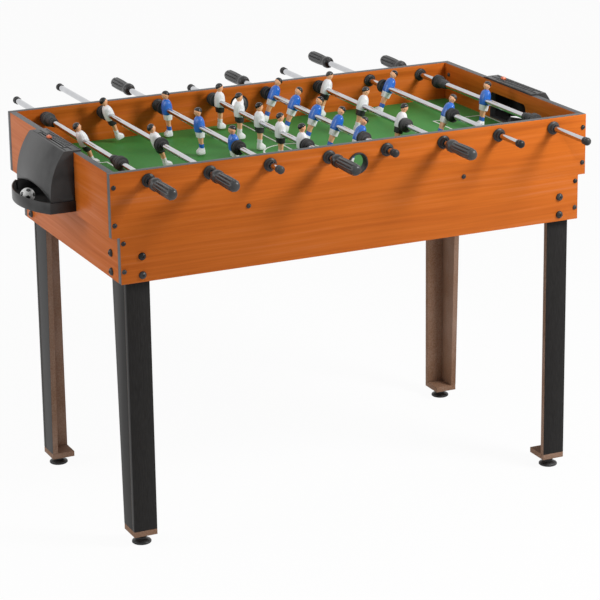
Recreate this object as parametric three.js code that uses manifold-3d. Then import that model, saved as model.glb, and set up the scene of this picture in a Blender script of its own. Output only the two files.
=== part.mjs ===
// Foosball table: a stepped board cabinet on four angle legs, eight telling rods that slide and spin
// with their playing figures, a moulded ball return with a sliding score marker at each end, and a ball.
// Millimetres, +Z up, floor at Z 0. The rods lie along Y. +X is the right-hand goal, -Y the front.

import * as THREE from "three";
import { mergeVertices } from "three/addons/utils/BufferGeometryUtils.js";
import Module from "manifold-3d";

// ---- driving dimensions -------------------------------------------------------------------------

// Cabinet boards
const LENGTH = 1070; // front and back boards
const WIDTH = 610; // outer face of the front board to outer face of the back board
const RIM_Z = 790; // top edge of the boards above the floor
const BOARD = 15;
const UPPER_H = 130; // full-size upper part of the cabinet
const LOWER_H = 96; // stepped lower part, which takes the legs
const END_STEP = 17; // how far the lower part stands back at each end
const BACK_STEP = 32; // how far it stands back behind
const FIT = 0.3; // clearance between pieces that touch

// Playfield
const FIELD_DEPTH = 84; // rim down to the green
const FIELD_BOARD = 9;
const BEAM_W = 20;
const BEAM_H = 18;
const BEAM_OUT = 243; // each beam from the middle of the table

// Goals and ball entry
const GOAL_W = 156;
const GOAL_H = 58;
const GOAL_R = 12;
const ENTRY_D = 36; // hole through the front and back boards
const ENTRY_RING = 44;
const ENTRY_RING_T = 3;
const ENTRY_DEPTH = 42; // rim down to the middle of the hole

// Rods
const ROD_PITCH = 130;
const ROD_DEPTH = 21; // rim down to the rods' axes
const ROD_D = 12.7;
const ROD_WALL = 1.3;
const CAP_D = 17;
const CAP_L = 16;
const BEARING_D = 28;
const BEARING_FLANGE = 4;
const BEARING_HUB_D = 20;
const BEARING_IN = 8; // inner nose, which the bumpers stop on
const BEARING_OUT = 12;
const END_CLEAR = 17; // bearing to handle, or to end cap, at the end of the travel
const GOALIE_TAIL = 26; // extra length at the end cap of the goalkeepers' rods

// Bumpers
const BUMPER_D = 30;
const BUMPER_L = 20;
const BUMPER_NECK_D = 20;
const SLEEVE_L = 32; // the goalkeepers' bumpers have a sleeve
const SLEEVE_D = 18;

// Handles
const HANDLE_L = 100;
const HANDLE_COLLAR_D = 27;
const HANDLE_WAIST_D = 22;
const HANDLE_TIP_D = 25;
const HANDLE_GRIP = 55; // how far the rod goes into the handle

// Playing figures
const MAN_UP = 43; // rod axis to the crown
const MAN_DOWN = 59; // rod axis to the sole
const MAN_WIDTH = 26;
const MAN_HUB = 22; // width at the rod
const MAN_DEEP = 17;
const HEAD_R = 10;
const NECK_DOWN = 19; // crown down to the top of the shoulders

// Ball return
const HOOD_W = 208;
const HOOD_WALL = 3;
const SHELF_OUT = 20; // shelf edge beyond the end board
const HOOD_OUT = 52; // foot of the hood beyond the end board
const TRAY_W = 216;
const TRAY_STRAIGHT = 55; // length of the tray's straight sides
const TRAY_OUT = 89;
const TRAY_DROP = 100; // rim down to the tray's lip
const TRAY_H = 22;
const ARCH_RISE = 18; // arch under the hood, over the tray's lip
const SLOT_L = 130;
const SLOT_W = 3.4;
const SLOT_OUT = 7; // slot's centre line beyond the end board
const SLIDER_L = 12;
const SLIDER_W = 9;
const SLIDER_H = 5;
const SLIDER_STEM_L = 7;

// Ball
const BALL_D = 32;
const BALL_Y = -10;

// Legs
const LEG_BOARD = 12;
const LEG_FRONT_W = 50;
const LEG_SIDE_TOP = 80;
const LEG_SIDE_FOOT = 57;
const LEG_IN_BOX = 86; // how far a leg reaches up inside the cabinet
const FOOT_PLATE = 12;
const FOOT_D = 40;
const FOOT_H = 21;

// Each rod from left to right: its figures, its side, how far they lean (degrees, feet towards +X),
// and how far the rod is drawn from its back stop.
const RODS = [
  { men: 1, side: "white", lean: 23, drawn: 0 },
  { men: 2, side: "white", lean: 21, drawn: 0 },
  { men: 3, side: "blue", lean: 5, drawn: 12 },
  { men: 5, side: "white", lean: 0, drawn: 0 },
  { men: 5, side: "blue", lean: -22, drawn: 0 },
  { men: 3, side: "white", lean: -16, drawn: 0 },
  { men: 2, side: "blue", lean: -24, drawn: 53 },
  { men: 1, side: "blue", lean: -10, drawn: 71 },
];
const TRAVEL = { 1: 57, 2: 110, 3: 67, 5: 35 }; // half the travel, by the number of figures
const SLIDER_AT = { left: -21, right: 58 }; // score markers along their slots

const ROUND = 12; // sides of bearings, rods, bumpers, handles and feet
const BALL_ROUND = 14;

// ---- derived sizes ------------------------------------------------------------------------------

const frontOut = -WIDTH / 2;
const frontIn = frontOut + BOARD;
const backOut = WIDTH / 2;
const backIn = backOut - BOARD;
const endOut = LENGTH / 2;
const endIn = endOut - BOARD;
const stepZ = RIM_Z - UPPER_H;
const lowZ = stepZ - LOWER_H;
const lowEndOut = endOut - END_STEP;
const lowEndIn = lowEndOut - BOARD;
const lowBackOut = backOut - BACK_STEP;
const lowBackIn = lowBackOut - BOARD;
const fieldZ = RIM_Z - FIELD_DEPTH;
const fieldUnder = fieldZ - FIELD_BOARD;
const rodZ = RIM_Z - ROD_DEPTH;
const rodR = ROD_D / 2;
const boreR = rodR + FIT;
const stopY = backIn - BEARING_IN - FIT;
const entryZ = RIM_Z - ENTRY_DEPTH;
const rodX = (k) => (k - (RODS.length - 1) / 2) * ROD_PITCH;

// ---- materials ----------------------------------------------------------------------------------

const material = (color, roughness, metalness = 0) =>
  new THREE.MeshStandardMaterial({ color, roughness, metalness });
const wood = material(0xc4621f, 0.45);
const turf = material(0x3f7f35, 0.7);
const blackPlastic = material(0x1d1d1e, 0.45);
const hoodPlastic = material(0x3a3a3c, 0.55);
const legBoard = material(0x2a2725, 0.6);
const chrome = material(0xd8d8da, 0.18, 1);
const rubber = material(0x151515, 0.75);
const orange = material(0xe06a2a, 0.4);
const ballWhite = material(0xf0f0ee, 0.35);
const kit = { white: material(0xe9eaec, 0.4), blue: material(0x1e62c8, 0.4) };

// ---- solids -------------------------------------------------------------------------------------

const wasm = await Module();
wasm.setup();

// A closed three.js geometry as a solid.
function solid(geometry) {
  const bare = geometry.index ? geometry.toNonIndexed() : geometry.clone();
  bare.deleteAttribute("normal");
  bare.deleteAttribute("uv");
  const merged = mergeVertices(bare, 1e-3);
  return new wasm.Manifold(
    new wasm.Mesh({
      numProp: 3,
      vertProperties: new Float32Array(merged.attributes.position.array),
      triVerts: new Uint32Array(merged.index.array),
    }),
  );
}

// A solid as a named three.js mesh.
function mesh(name, made, surface) {
  const { vertProperties, triVerts } = made.getMesh();
  const geometry = new THREE.BufferGeometry();
  geometry.setAttribute("position", new THREE.BufferAttribute(vertProperties, 3));
  geometry.setIndex(new THREE.BufferAttribute(triVerts, 1));
  geometry.computeVertexNormals();
  const out = new THREE.Mesh(geometry, surface);
  out.name = name;
  return out;
}

const join = (...pieces) => pieces.reduce((a, b) => a.add(b));

// A board or block between two corners.
function block(x0, x1, y0, y1, z0, z1) {
  const g = new THREE.BoxGeometry(x1 - x0, y1 - y0, z1 - z0);
  g.translate((x0 + x1) / 2, (y0 + y1) / 2, (z0 + z1) / 2);
  return solid(g);
}

// A profile of [radius, place along Y] pairs turned about the Y axis. It runs towards +Y outside.
function turned(profile, sides) {
  const points = profile.map(([r, y]) => new THREE.Vector2(r, y));
  return solid(new THREE.LatheGeometry(points, sides));
}

// The same about a vertical axis.
function turnedUp(profile, sides) {
  const points = profile.map(([r, z]) => new THREE.Vector2(r, z));
  return solid(new THREE.LatheGeometry(points, sides).rotateX(Math.PI / 2));
}

// An outline drawn in (Y, Z), pushed from x0 to x1.
function acrossX(shape, x0, x1, curveSegments = 6) {
  const g = new THREE.ExtrudeGeometry(shape, { depth: x1 - x0, bevelEnabled: false, curveSegments });
  // The extrusion's x, y, z become Y, Z, X.
  g.applyMatrix4(new THREE.Matrix4().makeBasis(
    new THREE.Vector3(0, 1, 0), new THREE.Vector3(0, 0, 1), new THREE.Vector3(1, 0, 0)));
  g.translate(x0, 0, 0);
  return solid(g);
}

// An outline drawn in (X, Z), pushed from y0 to y1.
function acrossY(shape, y0, y1, curveSegments = 6) {
  const g = new THREE.ExtrudeGeometry(shape, { depth: y1 - y0, bevelEnabled: false, curveSegments });
  g.rotateX(Math.PI / 2); // outline's y becomes Z, and the depth runs towards -Y
  g.translate(0, y1, 0);
  return solid(g);
}

// An outline drawn in (X, Y), pushed from z0 to z1.
function upZ(shape, z0, z1, curveSegments = 6) {
  const g = new THREE.ExtrudeGeometry(shape, { depth: z1 - z0, bevelEnabled: false, curveSegments });
  g.translate(0, 0, z0);
  return solid(g);
}

// A closed outline through points.
const outline = (points) => new THREE.Shape(points.map(([a, b]) => new THREE.Vector2(a, b)));

// ---- cabinet ------------------------------------------------------------------------------------

// A rod bearing through a board whose outer face is at outY and whose inner face is at inY.
function bearing(x, outY, inY) {
  const inward = Math.sign(inY - outY);
  const flange = BEARING_D / 2;
  const hub = BEARING_HUB_D / 2;
  const half = [
    [boreR, outY - inward * BEARING_OUT],
    [hub, outY - inward * BEARING_OUT],
    [hub, outY - inward * BEARING_FLANGE],
    [flange, outY - inward * BEARING_FLANGE],
    [flange, inY + inward * BEARING_FLANGE],
    [hub, inY + inward * BEARING_FLANGE],
    [hub, inY + inward * BEARING_IN],
    [boreR, inY + inward * BEARING_IN],
  ];
  const profile = inward > 0 ? half : half.reverse();
  return turned([...profile, profile[0]], ROUND).translate([x, 0, rodZ]);
}

// A hole of radius r along Y, cut through the boards at (x, z).
function holeY(r, x, z) {
  const reach = WIDTH;
  return turned([[0, -reach], [r, -reach], [r, reach], [0, reach]], ROUND).translate([x, 0, z]);
}

// The plastic ring round a ball entry hole, flush inside.
function entryRing(outY, inY) {
  const outward = Math.sign(outY - inY);
  const face = outY + outward * ENTRY_RING_T;
  const ends = [face, inY].sort((a, b) => a - b);
  const r = ENTRY_RING / 2;
  return turned([[0, ends[0]], [r, ends[0]], [r, ends[1]], [0, ends[1]]], ROUND)
    .translate([0, 0, entryZ]);
}

// Bearings and the ball entry put into a long board.
function withFittings(board, outY, inY) {
  let made = board;
  RODS.forEach((_, k) => {
    made = made.subtract(holeY(boreR, rodX(k), rodZ));
    made = made.add(bearing(rodX(k), outY, inY));
  });
  made = made.add(entryRing(outY, inY));
  return made.subtract(holeY(ENTRY_D / 2, 0, entryZ));
}

function frontPanel() {
  const shape = outline([
    [-lowEndOut, lowZ],
    [lowEndOut, lowZ],
    [lowEndOut, stepZ],
    [endOut, stepZ],
    [endOut, RIM_Z],
    [-endOut, RIM_Z],
    [-endOut, stepZ],
    [-lowEndOut, stepZ],
  ]);
  return withFittings(acrossY(shape, frontOut, frontIn), frontOut, frontIn);
}

// The back is an upper board and a lower board that stands in, tied by a batten.
function backPanel() {
  const upper = block(-endOut, endOut, backIn, backOut, stepZ, RIM_Z);
  const lower = block(-lowEndOut, lowEndOut, lowBackIn, lowBackOut, lowZ, stepZ);
  const batten = outline([
    [lowBackIn, stepZ - BOARD],
    [lowBackOut - 1, stepZ - BOARD],
    [lowBackOut - 1, stepZ],
    [backIn + 1, stepZ],
    [backIn + 1, stepZ + BOARD],
    [lowBackIn, stepZ + BOARD],
  ]);
  const tie = acrossX(batten, -lowEndIn + FIT, lowEndIn - FIT);
  return withFittings(join(upper, lower, tie), backOut, backIn);
}

function goalOutline() {
  const w = GOAL_W / 2;
  const top = fieldZ + GOAL_H;
  const shape = new THREE.Shape();
  shape.moveTo(-w, fieldZ);
  shape.lineTo(w, fieldZ);
  shape.lineTo(w, top - GOAL_R);
  shape.absarc(w - GOAL_R, top - GOAL_R, GOAL_R, 0, Math.PI / 2, false);
  shape.absarc(-w + GOAL_R, top - GOAL_R, GOAL_R, Math.PI / 2, Math.PI, false);
  return shape;
}

// Right-hand end: the upper board with its goal, and the lower board that carries the playfield's edge.
function endPanel() {
  const upper = block(endIn, endOut, frontIn + FIT, backIn - FIT, stepZ, RIM_Z);
  const lower = block(lowEndIn, lowEndOut, frontIn + FIT, lowBackIn - FIT, lowZ, stepZ + 1);
  const ledge = block(lowEndIn, endIn + 1, frontIn + FIT, lowBackIn - FIT, stepZ, fieldUnder - FIT);
  const goal = acrossX(goalOutline(), endIn - 1, endOut + 1);
  return join(upper, lower, ledge).subtract(goal);
}

function playfield() {
  const x = endIn - FIT;
  const y0 = frontIn + FIT;
  const y1 = backIn - FIT;
  const board = block(-x, x, y0, y1, fieldUnder, fieldZ);
  const beams = [-BEAM_OUT, BEAM_OUT].map((at) =>
    block(at - BEAM_W / 2, at + BEAM_W / 2, y0, y1, fieldUnder - BEAM_H, fieldUnder + 1));
  return join(board, ...beams);
}

// ---- legs ---------------------------------------------------------------------------------------

// Front right leg, drawn with its outer corner at the origin; the boards run towards -X and +Y.
function leg() {
  const top = lowZ + LEG_IN_BOX;
  const boardFoot = FOOT_H + FOOT_PLATE;
  const front = block(-LEG_FRONT_W, 0, 0, LEG_BOARD, FOOT_H, top);
  const side = acrossX(
    outline([[0, FOOT_H], [LEG_SIDE_FOOT, FOOT_H], [LEG_SIDE_TOP, top], [0, top]]),
    -LEG_BOARD,
    0,
  );
  const plate = block(-LEG_FRONT_W, 0, 0, LEG_SIDE_FOOT, FOOT_H, boardFoot);
  const r = FOOT_D / 2;
  const foot = turnedUp([[0, 0], [r, 0], [r, 4], [r * 0.55, FOOT_H], [r * 0.55, FOOT_H + 1],
    [0, FOOT_H + 1]], ROUND).translate([-r - 4, r + 4, 0]);
  return join(front, side, plate, foot);
}

// ---- ball return --------------------------------------------------------------------------------

const shelfZ = RIM_Z + FIT;
const shelfTop = shelfZ + HOOD_WALL;
const lipZ = RIM_Z - TRAY_DROP;
const trayZ = lipZ - TRAY_H;
const trayFloor = trayZ + HOOD_WALL;

// Side view of the hood, inset by a wall; x runs out from the end board.
function hoodSide(inset, x0, z0, z1) {
  const shape = new THREE.Shape();
  shape.moveTo(x0, z0);
  shape.lineTo(HOOD_OUT - inset, z0);
  shape.lineTo(HOOD_OUT - inset, lipZ);
  shape.quadraticCurveTo(HOOD_OUT + 2 - inset, (lipZ + shelfTop) / 2 + 8, SHELF_OUT - inset, z1);
  shape.lineTo(x0, z1);
  return shape;
}

// Plan of the tray, inset by a wall.
function trayPlan(inset, x0) {
  const half = TRAY_W / 2;
  const rise = TRAY_OUT - TRAY_STRAIGHT;
  const bow = (rise * rise + half * half) / (2 * rise);
  const centre = TRAY_OUT - bow;
  const r = bow - inset;
  const turn = Math.asin((half - inset) / r);
  const shape = new THREE.Shape();
  shape.moveTo(x0, half - inset);
  shape.lineTo(x0, -half + inset);
  shape.absarc(centre, 0, r, -turn, turn, false);
  return shape;
}

// The moulding, with the end board's outer face at x 0 and the hood towards +X.
function ballReturn() {
  const half = HOOD_W / 2;
  const shelf = block(-BOARD - 2, SHELF_OUT - 2, -half, half, shelfZ, shelfTop);
  const hood = acrossY(hoodSide(0, FIT, trayZ, shelfTop), -half, half, 5)
    .subtract(acrossY(hoodSide(HOOD_WALL, -1, trayZ - 1, shelfZ), -half + HOOD_WALL, half - HOOD_WALL, 5));
  const w = half - HOOD_WALL;
  const arch = new THREE.Shape();
  arch.moveTo(w, trayZ - 1);
  arch.lineTo(w, lipZ + 4);
  arch.quadraticCurveTo(0, lipZ + 4 + 2 * ARCH_RISE, -w, lipZ + 4);
  arch.lineTo(-w, trayZ - 1);
  const mouth = acrossX(arch, SHELF_OUT, TRAY_OUT, 5);
  const tray = upZ(trayPlan(0, FIT), trayZ, lipZ, 10)
    .subtract(upZ(trayPlan(HOOD_WALL, FIT + HOOD_WALL), trayFloor, lipZ + 1, 10));
  const slot = block(SLOT_OUT - SLOT_W / 2, SLOT_OUT + SLOT_W / 2, -SLOT_L / 2, SLOT_L / 2,
    shelfZ - 1, shelfTop + 1);
  return join(hood.subtract(mouth), shelf, tray).subtract(slot);
}

// Score marker at the middle of the slot: a knob on the shelf, a stem, and a foot that keeps it in.
function slider() {
  const stemW = SLOT_W / 2 - FIT;
  const under = 2;
  const knobZ = shelfTop + FIT;
  const footZ = shelfZ - FIT;
  const part = (w, l, z0, z1) => block(SLOT_OUT - w, SLOT_OUT + w, -l / 2, l / 2, z0, z1);
  return join(
    part(SLIDER_W / 2, SLIDER_L, knobZ, knobZ + SLIDER_H),
    part(stemW, SLIDER_STEM_L, footZ - 1, knobZ + 1),
    part(SLIDER_W / 2 - 1, SLIDER_L, footZ - under, footZ),
  );
}

function ball() {
  const g = new THREE.SphereGeometry(BALL_D / 2, BALL_ROUND, BALL_ROUND / 2);
  return solid(g);
}

// ---- rods ---------------------------------------------------------------------------------------

// Places along a rod, measured from the middle of its figures. +1 is the handle's end.
function rodPlaces({ men }) {
  const travel = TRAVEL[men];
  const bumper = stopY - BUMPER_L / 2 - travel; // middle of each bumper
  const outer = bumper - (BUMPER_L + MAN_WIDTH) / 2 - FIT; // outermost figures
  const reach = WIDTH / 2 + BEARING_OUT + END_CLEAR + travel; // foot of the handle
  const tail = men === 1 ? reach + GOALIE_TAIL : reach; // foot of the end cap
  return { travel, bumper, outer, reach, tail };
}

// Outline of a bumper's outside, from one end to the other, with its neck towards `neck`.
function bumperProfile(at, neck) {
  const h = BUMPER_L / 2;
  const disc = [
    [BUMPER_NECK_D / 2, -h],
    [BUMPER_D / 2, -h + 3],
    [BUMPER_D / 2, h - 3],
    [BUMPER_NECK_D / 2, h],
  ].map(([r, y]) => [r, at + y]);
  if (!neck) return disc;
  const tip = at + Math.sign(neck) * (h + SLEEVE_L);
  const base = at + Math.sign(neck) * h;
  return neck > 0
    ? [...disc, [SLEEVE_D / 2, base], [SLEEVE_D / 2, tip]]
    : [[SLEEVE_D / 2, tip], [SLEEVE_D / 2, base], ...disc];
}

// The tube with its end cap and its far bumper. `hand` is -1 for a handle at the front, 1 at the back.
function rod(places, sleeve) {
  const inner = rodR - ROD_WALL;
  const capR = CAP_D / 2;
  const far = bumperProfile(-places.bumper, sleeve ? 1 : 0);
  const tip = -places.tail - CAP_L;
  const end = places.reach + HANDLE_GRIP - FIT;
  const profile = [
    [0, tip],
    [capR * 0.75, tip + 2],
    [capR, tip + CAP_L * 0.5],
    [capR * 0.75, -places.tail],
    [rodR, -places.tail],
    [rodR, far[0][1]],
    ...far,
    [rodR, far[far.length - 1][1]],
    [rodR, end],
    [inner, end],
    [inner, -places.tail],
    [0, -places.tail],
  ];
  return turned(profile, ROUND);
}

// The bumper next to the handle, bored for the rod.
function bumper(places, sleeve) {
  const out = bumperProfile(places.bumper, sleeve ? -1 : 0);
  const first = [boreR, out[0][1]];
  const last = [boreR, out[out.length - 1][1]];
  return turned([first, ...out, last, first], ROUND);
}

function handle(places) {
  const z = places.reach;
  const grip = z + HANDLE_GRIP;
  const collar = HANDLE_COLLAR_D / 2;
  const waist = HANDLE_WAIST_D / 2;
  const knob = HANDLE_TIP_D / 2;
  return turned([
    [boreR, z],
    [collar * 0.8, z],
    [collar, z + 6],
    [collar, z + 18],
    [waist, z + 24],
    [knob, z + HANDLE_L - 18],
    [knob * 0.8, z + HANDLE_L - 4],
    [0, z + HANDLE_L],
    [0, grip],
    [boreR, grip],
    [boreR, z],
  ], ROUND);
}

// A figure on the rod's axis, facing +X.
function man() {
  const hub = MAN_HUB / 2;
  const deep = MAN_DEEP / 2;
  const shoulder = MAN_WIDTH / 2;
  const neckZ = MAN_UP - NECK_DOWN;
  // Front view: boots, legs, shorts, waist, shoulders.
  const front = outline([
    [-7, -MAN_DOWN + 6],
    [7, -MAN_DOWN + 6],
    [9, -30],
    [hub, -10],
    [hub, 6],
    [shoulder, neckZ - 8],
    [6, neckZ],
    [-6, neckZ],
    [-shoulder, neckZ - 8],
    [-hub, 6],
    [-hub, -10],
    [-9, -30],
  ]);
  // Side view: the body narrows to the ankles and leans into the toe.
  const side = outline([
    [-4, -MAN_DOWN],
    [10, -MAN_DOWN],
    [10, -MAN_DOWN + 7],
    [5, -MAN_DOWN + 13],
    [deep, -8],
    [deep, neckZ - 8],
    [5, neckZ + 1],
    [-5, neckZ + 1],
    [-deep, neckZ - 8],
    [-deep, -8],
    [-5, -MAN_DOWN + 13],
  ]);
  const body = acrossX(front, -20, 20).intersect(acrossY(side, -20, 20));
  const boots = block(-5, 11, -8, 8, -MAN_DOWN + 1, -MAN_DOWN + 8);
  const head = solid(new THREE.SphereGeometry(HEAD_R, 8, 5).rotateX(Math.PI / 2)
    .translate(0, 0, MAN_UP - HEAD_R));
  const bore = turned([[0, -40], [boreR, -40], [boreR, 40], [0, 40]], ROUND);
  return join(body, boots, head).subtract(bore);
}

// ---- assembly -----------------------------------------------------------------------------------

const table = new THREE.Group();

table.add(mesh("front_panel", frontPanel(), wood));
table.add(mesh("back_panel", backPanel(), wood));
table.add(mesh("playfield", playfield(), turf));
table.add(mesh("end_panel_right", endPanel(), wood));
table.add(mesh("end_panel_left", endPanel().mirror([1, 0, 0]), wood));

const legX = lowEndIn - FIT;
const legCorners = {
  front_right: [1, frontIn + FIT, 1],
  front_left: [-1, frontIn + FIT, 1],
  back_right: [1, lowBackIn - FIT, -1],
  back_left: [-1, lowBackIn - FIT, -1],
};
for (const [place, [sx, y, sy]] of Object.entries(legCorners)) {
  let made = leg();
  if (sx < 0) made = made.mirror([1, 0, 0]);
  if (sy < 0) made = made.mirror([0, 1, 0]);
  table.add(mesh("leg_" + place, made.translate([sx * legX, y, 0]), legBoard));
}

for (const [place, turn] of Object.entries({ right: 0, left: Math.PI })) {
  const end = new THREE.Group();
  end.rotation.z = turn;
  end.position.x = Math.cos(turn) * endOut;
  const marker = mesh("score_slider_" + place, slider(), orange);
  marker.position.y = SLIDER_AT[place];
  end.add(mesh("ball_return_" + place, ballReturn(), hoodPlastic), marker);
  table.add(end);
}

const gameBall = mesh("ball", ball(), ballWhite);
const ballOut = TRAY_OUT - HOOD_WALL - BALL_D / 2 - 1;
gameBall.position.set(-endOut - ballOut, BALL_Y, trayFloor + BALL_D / 2 + FIT);
table.add(gameBall);

const reaches = [];
RODS.forEach((spec, k) => {
  const n = k + 1;
  const places = rodPlaces(spec);
  const goalie = spec.men === 1;
  const hand = spec.side === "white" ? -1 : 1; // whites are played from the front
  const centre = places.travel - spec.drawn;
  const carrier = new THREE.Group();
  carrier.position.set(rodX(k), centre, rodZ);
  const pole = new THREE.Group(); // its +Y is the handle's end
  if (hand < 0) pole.rotation.z = Math.PI;
  pole.add(mesh("rod_" + n, rod(places, goalie), chrome));
  pole.add(mesh("bumper_" + n, bumper(places, goalie), rubber));
  pole.add(mesh("handle_" + n, handle(places), blackPlastic));
  carrier.add(pole);
  for (let i = 0; i < spec.men; i++) {
    const figure = mesh("man_" + n + "_" + (i + 1), man(), kit[spec.side]);
    const share = spec.men > 1 ? i / (spec.men - 1) : 0.5;
    figure.position.y = (2 * share - 1) * places.outer;
    const face = new THREE.Group();
    face.rotation.y = THREE.MathUtils.degToRad(-spec.lean);
    if (spec.side === "blue") figure.rotation.z = Math.PI; // blues face the left-hand goal
    face.add(figure);
    carrier.add(face);
  }
  table.add(carrier);
  const tips = [places.reach + HANDLE_L, places.tail + CAP_L];
  reaches.push(centre + (hand > 0 ? tips[0] : tips[1]), centre - (hand > 0 ? tips[1] : tips[0]));
});

// The origin is under the middle of the whole object, rods as drawn.
table.position.y = -(Math.max(...reaches) + Math.min(...reaches)) / 2;

export default table;
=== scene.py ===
"""Looks of the foosball table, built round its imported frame."""

import math

import bmesh
import bpy
import numpy as np
from bpy.props import FloatProperty, FloatVectorProperty, IntProperty, PointerProperty
from mathutils import Matrix, Vector
from mathutils.geometry import tessellate_polygon


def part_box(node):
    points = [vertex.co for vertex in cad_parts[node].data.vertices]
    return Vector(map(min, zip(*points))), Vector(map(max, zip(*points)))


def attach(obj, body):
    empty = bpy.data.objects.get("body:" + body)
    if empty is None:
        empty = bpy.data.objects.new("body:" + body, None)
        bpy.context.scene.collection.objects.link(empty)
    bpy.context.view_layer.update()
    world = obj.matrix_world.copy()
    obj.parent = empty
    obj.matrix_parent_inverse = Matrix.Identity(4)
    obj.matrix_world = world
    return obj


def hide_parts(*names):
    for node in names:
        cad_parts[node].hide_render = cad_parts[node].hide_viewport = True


bl_info = {
    "name": "Foosball Table",
    "version": (1, 0, 0),
    "blender": (4, 5, 0),
    "location": "3D View > Sidebar > Foosball",
    "description": "Builds the looks of a foosball table round its frame",
    "category": "Object",
}

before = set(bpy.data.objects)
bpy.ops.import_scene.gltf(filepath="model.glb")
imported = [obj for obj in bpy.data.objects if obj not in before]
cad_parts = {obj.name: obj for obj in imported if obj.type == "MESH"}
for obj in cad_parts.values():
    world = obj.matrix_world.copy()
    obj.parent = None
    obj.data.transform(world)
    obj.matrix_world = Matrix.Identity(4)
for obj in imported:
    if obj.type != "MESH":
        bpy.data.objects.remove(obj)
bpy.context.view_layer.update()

MM = 0.001
SIDE_NAMES = ("left", "right")
# Figures on each rod from left to right, their team, and how far they lean with feet towards +X.
RODS = (
    (1, "white", 23), (2, "white", 21), (3, "blue", 5), (5, "white", 0),
    (5, "blue", -22), (3, "white", -16), (2, "blue", -24), (1, "blue", -10),
)


def colour(code):
    """An sRGB hex colour as linear RGBA."""
    parts = [int(code[i:i + 2], 16) / 255 for i in (1, 3, 5)]
    linear = [c / 12.92 if c <= 0.04045 else ((c + 0.055) / 1.055) ** 2.4 for c in parts]
    return (*linear, 1.0)


def colour_prop(name, description, code):
    """A colour that the user can change."""
    return FloatVectorProperty(
        name=name, description=description, subtype="COLOR", size=4, min=0, max=1,
        default=colour(code))


def length_prop(name, description, mm):
    """A length that the user can change, kept in metres."""
    return FloatProperty(
        name=name, description=description, default=mm * MM, min=0, unit="LENGTH")


def box_mm(node):
    """Lowest and highest corner of a frame node in millimetres."""
    low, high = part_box(node)
    return low / MM, high / MM


# ---- settings -----------------------------------------------------------------------------------

class FoosballBoardSettings(bpy.types.PropertyGroup):
    """Cabinet boards and legs"""
    wood: colour_prop("Wood", "Cherry print between the grain lines", "#C86820")
    grain: colour_prop("Grain", "Cherry print along the grain lines", "#B85B1A")
    band: colour_prop("Edge band", "Plastic band on the boards' edges", "#37383A")
    raw: colour_prop("Raw board", "Bare fibreboard inside the legs and under the field", "#8C6446")
    leg: colour_prop("Leg", "Outer laminate of the legs", "#1B1918")
    grain_gap: length_prop("Grain spacing", "Distance between grain lines", 7)
    board: length_prop("Board", "Thickness of the cabinet boards", 15)
    leg_board: length_prop("Leg board", "Thickness of the leg boards", 12)


class FoosballFieldSettings(bpy.types.PropertyGroup):
    """Playing field and its printed lines"""
    green: colour_prop("Green", "Printed green of the field", "#3A7C36")
    green_light: colour_prop("Light green", "Paler patches of the field", "#4C934B")
    line: colour_prop("Lines", "Printed lines of the field", "#EDEFEA")
    line_width: length_prop("Line width", "Width of the printed lines", 4)
    circle: length_prop("Circle", "Diameter of the centre circle", 130)
    box_deep: length_prop("Box depth", "End board to the front line of each penalty box", 131)
    box_wide: length_prop("Box width", "Width of each penalty box", 200)


class FoosballFittingSettings(bpy.types.PropertyGroup):
    """Bearings, bumpers, handles, screws and the ball return"""
    flange: length_prop("Bearing", "Diameter of a rod bearing's flange", 28)
    hub: length_prop("Hub", "Diameter of a rod bearing's hub", 20)
    rod: length_prop("Rod", "Diameter of the rods", 12.7)
    screw: length_prop("Screw", "Diameter of a small screw's head", 10)
    bolt: length_prop("Bolt", "Diameter of a leg bolt's head", 16)
    flutes: IntProperty(name="Flutes", description="Ribs round a handle", default=10, min=3)
    plastic: colour_prop("Black plastic", "Handles, bearings and bumpers", "#101011")
    hood: colour_prop("Hood", "Moulded ball returns", "#151414")
    marker: colour_prop("Marker", "Score markers", "#E0682A")


class FoosballTeamSettings(bpy.types.PropertyGroup):
    """Paint of the playing figures and the ball"""
    white_shirt: colour_prop("White shirt", "Shirts of the white team", "#F2F2F4")
    blue_shirt: colour_prop("Blue shirt", "Shirts of the blue team", "#0A68CE")
    skin: colour_prop("Skin", "Faces, necks and knees", "#F3B487")
    hair: colour_prop("Hair", "Hair of the figures", "#0B0A0B")
    dark: colour_prop("Dark shorts", "Shorts of the white team", "#0E0E10")


class FoosballStageSettings(bpy.types.PropertyGroup):
    """Lamps, floor and camera"""
    key: FloatProperty(
        name="Key lamp", description="Power of the key lamp", default=45, min=0, unit="POWER")
    fill: FloatProperty(
        name="Fill lamp", description="Power of the fill lamp", default=33, min=0, unit="POWER")
    ambient: FloatProperty(name="Ambient", description="Strength of the even light", default=0.32, min=0)
    focal: FloatProperty(
        name="Focal length", description="Camera lens in mm on a 36 mm sensor", default=147.74, min=1)


# ---- shader nodes -------------------------------------------------------------------------------

def wire(tree, node, inputs):
    """Sets or links a node's inputs."""
    for key, value in inputs.items():
        if isinstance(value, bpy.types.NodeSocket):
            tree.links.new(value, node.inputs[key])
        else:
            node.inputs[key].default_value = value


def add(tree, kind, inputs=None, out=0, stops=(), **settings):
    """Adds a node with its settings, colour stops and inputs, and gives one of its outputs."""
    made = tree.nodes.new(kind)
    for key, value in settings.items():
        setattr(made, key, value)
    if stops:
        band = made.color_ramp.elements
        band[0].position, band[0].color = stops[0]
        band[1].position, band[1].color = stops[-1]
        for place, shade in stops[1:-1]:
            band.new(place).color = shade
    wire(tree, made, inputs or {})
    return made.outputs[out]


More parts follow.
